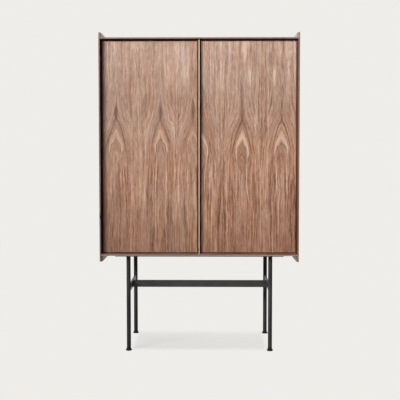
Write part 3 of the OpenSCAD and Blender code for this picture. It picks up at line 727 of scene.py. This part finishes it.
def bead_tree():
    """Geometry Nodes that sweep a rippled bead along every edge of a mesh of lines."""
    tree = bpy.data.node_groups.new("weld bead", "GeometryNodeTree")
    tree.interface.new_socket(name="Lines", in_out="INPUT", socket_type="NodeSocketGeometry")
    for name, default in (("Bead radius", 0.0016), ("Ripple pitch", 0.002), ("Ripple depth", 0.14)):
        socket = tree.interface.new_socket(name=name, in_out="INPUT", socket_type="NodeSocketFloat")
        socket.default_value = default
    tree.interface.new_socket(name="Coat", in_out="INPUT", socket_type="NodeSocketMaterial")
    tree.interface.new_socket(name="Beads", in_out="OUTPUT", socket_type="NodeSocketGeometry")
    r = Recipe(tree)
    given = r.node("NodeGroupInput").outputs
    lines = r.node("GeometryNodeMeshToCurve", {"Mesh": given["Lines"]}).outputs[0]
    steps = r.node("GeometryNodeResampleCurve", {"Curve": lines})
    if "Mode" in steps.inputs:
        steps.inputs["Mode"].default_value = "Length"
    else:
        steps.mode = "LENGTH"
    tree.links.new(r.times(given["Ripple pitch"], 1 / RIPPLE_STEPS), steps.inputs["Length"])
    travelled = r.node("GeometryNodeSplineParameter").outputs["Length"]
    turn = r.times(r.math("DIVIDE", travelled, given["Ripple pitch"]), math.tau)
    swell = r.times(r.math("SINE", turn), given["Ripple depth"])
    radius = r.times(r.add(1.0, swell), given["Bead radius"])
    swollen = r.node("GeometryNodeSetCurveRadius", {"Curve": steps.outputs[0], "Radius": radius})
    profile = r.node("GeometryNodeCurvePrimitiveCircle", {"Resolution": BEAD_SIDES, "Radius": 1.0})
    sweep = r.node("GeometryNodeCurveToMesh", {
        "Curve": swollen.outputs[0], "Profile Curve": profile.outputs[0], "Fill Caps": True})
    if "Scale" in sweep.inputs:
        width = r.node("GeometryNodeInputRadius").outputs[0]
        tree.links.new(width, sweep.inputs["Scale"])
    smooth = r.node("GeometryNodeSetShadeSmooth", {"Geometry": sweep.outputs[0]})
    solid = r.node("GeometryNodeRealizeInstances", {"Geometry": smooth.outputs[0]})
    coated = r.node("GeometryNodeSetMaterial", {"Geometry": solid.outputs[0], "Material": given["Coat"]})
    tree.links.new(coated.outputs[0], r.node("NodeGroupOutput").inputs[0])
    return tree


def grown(name, source, tree, values):
    """Plain mesh object that a Geometry Nodes tree makes from a source mesh."""
    holder = bpy.data.objects.new(name + "_lines", source)
    bpy.context.scene.collection.objects.link(holder)
    modifier = holder.modifiers.new("make", "NODES")
    modifier.node_group = tree
    for item in tree.interface.items_tree:
        if item.in_out == "INPUT" and item.name in values:
            modifier[item.identifier] = values[item.name]
    bpy.context.view_layer.update()
    made = bpy.data.meshes.new_from_object(holder.evaluated_get(bpy.context.evaluated_depsgraph_get()))
    bpy.data.objects.remove(holder)
    made.name = name
    piece = bpy.data.objects.new(name, made)
    bpy.context.scene.collection.objects.link(piece)
    if not made.polygons:
        raise RuntimeError(f"{name} came out empty")
    return piece


class HIGHBOARD_OT_welds(bpy.types.Operator):
    """Run weld beads where the steel bars and legs meet"""

    bl_idname = "highboard.welds"
    bl_label = "Weld beads"

    def execute(self, context):
        metal = context.scene.highboard_metal
        points, edges = [], []
        for path, closed in weld_paths():
            first = len(points)
            points += path
            edges += [(first + i, first + i + 1) for i in range(len(path) - 1)]
            if closed:
                edges.append((len(points) - 1, first))
        lines = bpy.data.meshes.new("weld_lines")
        lines.from_pydata(points, edges, [])
        beads = grown("weld_beads", lines, bead_tree(), {
            "Bead radius": metal.bead_radius,
            "Ripple pitch": metal.ripple_pitch,
            "Coat": bpy.data.materials["black_powder_coat"],
        })
        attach(beads, "case")
        return {"FINISHED"}


def soft_lamp(name, place, aim, width, height, power, spread=180.0):
    """Rectangular soft lamp at a place, turned to its aim."""
    lamp = bpy.data.lights.new(name, "AREA")
    lamp.shape = "RECTANGLE"
    lamp.size, lamp.size_y, lamp.energy = width, height, power
    lamp.spread = math.radians(spread)
    holder = bpy.data.objects.new(name, lamp)
    holder.location = place
    holder.rotation_euler = (Vector(aim) - Vector(place)).to_track_quat("-Z", "Y").to_euler()
    bpy.context.scene.collection.objects.link(holder)


def seen_directly(r):
    """1 for camera, glossy and transmission rays, and 0 for the rays that carry light."""
    ray = r.node("ShaderNodeLightPath").outputs
    seen = r.math("MAXIMUM", ray["Is Camera Ray"], ray["Is Glossy Ray"])
    return r.math("MAXIMUM", seen, ray["Is Transmission Ray"])


def paper_world(studio):
    """Pale paper all round for the camera and for gloss, and an even, weaker light on the object."""
    world = bpy.data.worlds.new("paper")
    world.use_nodes = True
    world.node_tree.nodes.clear()
    r = Recipe(world.node_tree)
    shown = r.node("ShaderNodeBackground", {"Color": (*studio.paper, 1.0), "Strength": 1.0}).outputs[0]
    way = r.node("ShaderNodeSeparateXYZ", {0: r.node("ShaderNodeTexCoord").outputs["Generated"]}).outputs
    level = r.fit(way["Y"], -0.5, 0.5, studio.front_fill, studio.fill, smooth=True)
    light = r.node("ShaderNodeBackground", {"Color": (1.0, 1.0, 1.0, 1.0), "Strength": level}).outputs[0]
    mixed = r.node("ShaderNodeMixShader", {0: seen_directly(r), 1: light, 2: shown}).outputs[0]
    r.node("ShaderNodeOutputWorld", {"Surface": mixed})
    return world


def paper_floor(studio):
    """Paper of the floor: it keeps the object's shadow near the object and fades into the background."""
    made = bpy.data.materials.new("paper_floor")
    made.use_nodes = True
    made.node_tree.nodes.clear()
    r = Recipe(made.node_tree)
    # The shadow shows between the legs, with soft ends on all four sides
    x, y, _ = r.object_place()
    between = r.fit(r.math("ABSOLUTE", x), 0.325, 0.365, 1.0, 0.0, smooth=True)
    behind = r.fit(y, 0.14, 0.24, 1.0, 0.0, smooth=True)
    in_front = r.fit(y, -0.19, -0.11, smooth=True)
    near = r.times(r.times(between, r.times(behind, in_front)), studio.shadow)
    lit = r.node("ShaderNodeBsdfDiffuse", {"Color": (0.86, 0.85, 0.82, 1.0)}).outputs[0]
    bounce = r.node("ShaderNodeBsdfDiffuse", {"Color": (0.12, 0.12, 0.12, 1.0)}).outputs[0]
    glow = r.node("ShaderNodeEmission", {"Color": (*studio.paper, 1.0), "Strength": 1.0}).outputs[0]
    shown = r.node("ShaderNodeMixShader", {0: near, 1: glow, 2: lit}).outputs[0]
    mixed = r.node("ShaderNodeMixShader", {0: seen_directly(r), 1: bounce, 2: shown}).outputs[0]
    r.node("ShaderNodeOutputMaterial", {"Surface": mixed})
    return made


class HIGHBOARD_OT_studio(bpy.types.Operator):
    """Set up the paper floor, the soft lamps and the camera"""

    bl_idname = "highboard.studio"
    bl_label = "Studio"

    def execute(self, context):
        studio = context.scene.highboard_studio
        scene = context.scene
        reach = 30.0
        corners = [(-reach, -reach, 0), (reach, -reach, 0), (reach, reach, 0), (-reach, reach, 0)]
        sheet = bpy.data.meshes.new("floor")
        sheet.from_pydata(corners, [], [(0, 1, 2, 3)])
        sheet.materials.append(paper_floor(studio))
        floor = bpy.data.objects.new("floor", sheet)
        scene.collection.objects.link(floor)
        scene.world = paper_world(studio)
        soft_lamp(
            "key_lamp", place=(-3.02, -4.22, 2.8), aim=(2.86, -1.22, 1.92), width=3.2, height=0.9,
            power=studio.key_power, spread=92.0)
        soft_lamp(
            "top_lamp", place=(0.0, 0.5, 3.6), aim=(0.0, 0.0, 0.0), width=2.4, height=1.6,
            power=studio.top_power)

        camera = bpy.data.cameras.new("camera")
        camera.lens, camera.sensor_width = studio.lens, SENSOR
        camera.shift_x, camera.shift_y = -0.0089, -0.05
        camera.clip_start, camera.clip_end = 0.1, 100.0
        holder = bpy.data.objects.new("camera", camera)
        holder.location = (0.0581, -3.7312, 1.039)
        tilt_down, turn_left = 2.643, 0.586
        holder.rotation_euler = (math.radians(90 - tilt_down), 0.0, math.radians(turn_left))
        scene.collection.objects.link(holder)
        scene.camera = holder
        scene.view_settings.view_transform = "Standard"
        return {"FINISHED"}


class HIGHBOARD_PT_sidebar(bpy.types.Panel):
    """Highboard tools in the 3D view's sidebar"""

    bl_label = "Highboard"
    bl_idname = "HIGHBOARD_PT_sidebar"
    bl_space_type = "VIEW_3D"
    bl_region_type = "UI"
    bl_category = "Highboard"

    def draw(self, context):
        layout = self.layout
        for group, tools in SIDEBAR:
            box = layout.box()
            held = getattr(context.scene, group)
            for name in held.bl_rna.properties.keys():
                if name not in ("rna_type", "name"):
                    box.prop(held, name)
            for tool in tools:
                box.operator(tool)


GROUPS = {
    "highboard_wood": HighboardWood,
    "highboard_metal": HighboardMetal,
    "highboard_studio": HighboardStudio,
}
SIDEBAR = (
    ("highboard_wood", ("highboard.panels",)),
    ("highboard_metal", ("highboard.base", "highboard.welds", "highboard.fittings")),
    ("highboard_studio", ("highboard.studio",)),
)
TOOLS = (
    HIGHBOARD_OT_panels, HIGHBOARD_OT_base, HIGHBOARD_OT_welds, HIGHBOARD_OT_fittings,
    HIGHBOARD_OT_studio, HIGHBOARD_PT_sidebar,
)


def register():
    for kind in (*GROUPS.values(), *TOOLS):
        bpy.utils.register_class(kind)
    for name, kind in GROUPS.items():
        setattr(bpy.types.Scene, name, PointerProperty(type=kind))


def unregister():
    for name in GROUPS:
        delattr(bpy.types.Scene, name)
    for kind in reversed((*GROUPS.values(), *TOOLS)):
        bpy.utils.unregister_class(kind)


def main():
    register()
    bpy.ops.highboard.panels()
    bpy.ops.highboard.base()
    bpy.ops.highboard.welds()
    bpy.ops.highboard.fittings()
    bpy.ops.highboard.studio()


if __name__ == "__main__":
    main()
